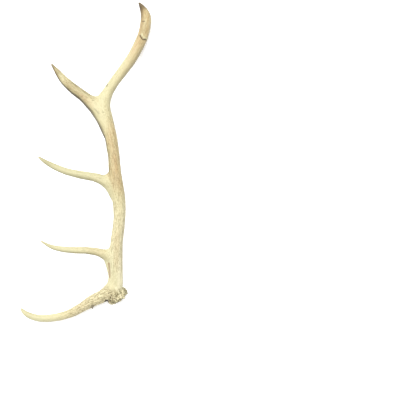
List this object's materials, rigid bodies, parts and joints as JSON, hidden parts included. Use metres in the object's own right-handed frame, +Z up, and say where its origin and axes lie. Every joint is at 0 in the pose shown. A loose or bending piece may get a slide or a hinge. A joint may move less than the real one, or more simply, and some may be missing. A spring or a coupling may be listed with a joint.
{
  "type": "deer antler",
  "caption": "shed elk antler with a pearled burr, a long curved brow tine, two side tines and a forked top, lying on its inner side",
  "frame": {"origin": "on the surface the antler lies on, under the middle of its box", "axes": "+Y runs from the burr to the tip of the beam, +Z is up from the surface, and the tines point to -X"},
  "size_m": [0.4558, 1.115, 0.1654],
  "materials": {
    "antler_bone": "dry bone, pale cream with tan staining"
  },
  "bodies": {
    "root": {"main_beam": "antler_bone", "brow_tine": "antler_bone", "bez_tine": "antler_bone", "trez_tine": "antler_bone", "royal_tine": "antler_bone", "beam_tip": "antler_bone"}
  },
  "joints": []
}
